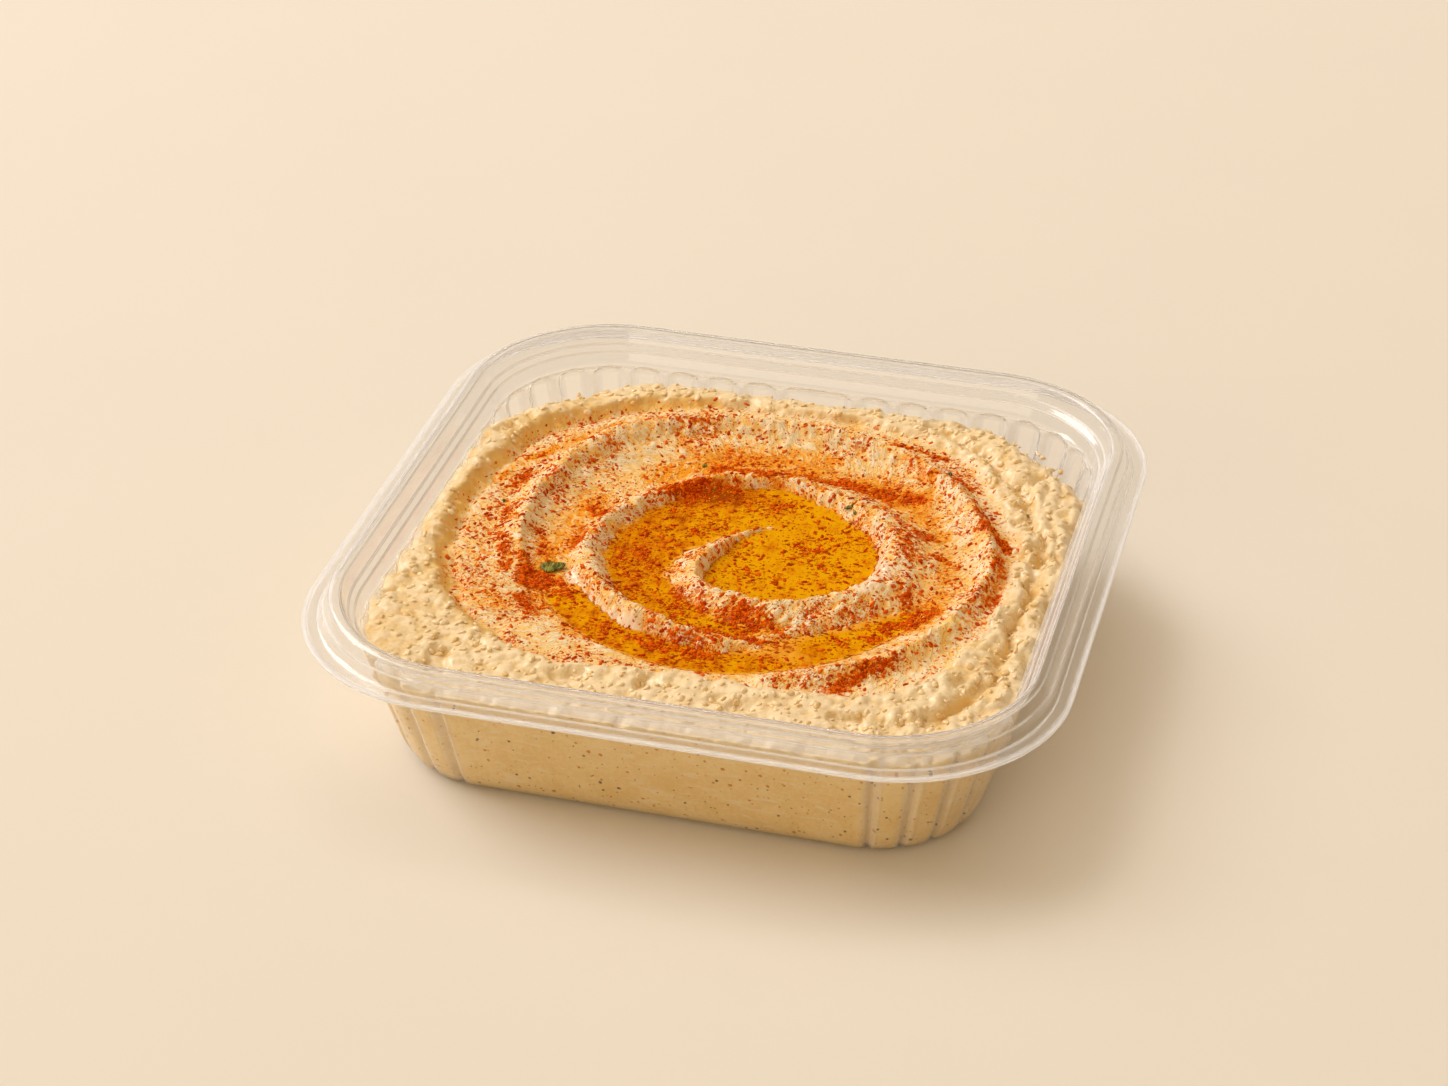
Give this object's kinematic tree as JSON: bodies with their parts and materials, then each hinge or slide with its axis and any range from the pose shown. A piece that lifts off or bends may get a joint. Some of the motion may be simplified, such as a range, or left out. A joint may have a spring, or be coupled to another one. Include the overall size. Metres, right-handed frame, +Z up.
{
  "type": "hummus in a clear tub",
  "caption": "Square clear plastic tub filled with hummus, spooned into a spiral with rings round pools of olive oil and dusted with paprika.",
  "frame": {"origin": "centre of the tub's base, on the surface it stands on", "axes": "+Z up through the open top; -Y towards the front side, whose wall is plain in the middle"},
  "size_m": [0.13, 0.13, 0.0305],
  "materials": {
    "clear_plastic": "clear thermoformed PET, glossy",
    "hummus": "soft cream-beige paste with a slight oily sheen",
    "olive_oil": "golden to amber olive oil, liquid gloss"
  },
  "bodies": {
    "root": {"tray": "clear_plastic", "hummus": "hummus", "oil_centre": "olive_oil", "oil_front": "olive_oil"}
  },
  "joints": []
}
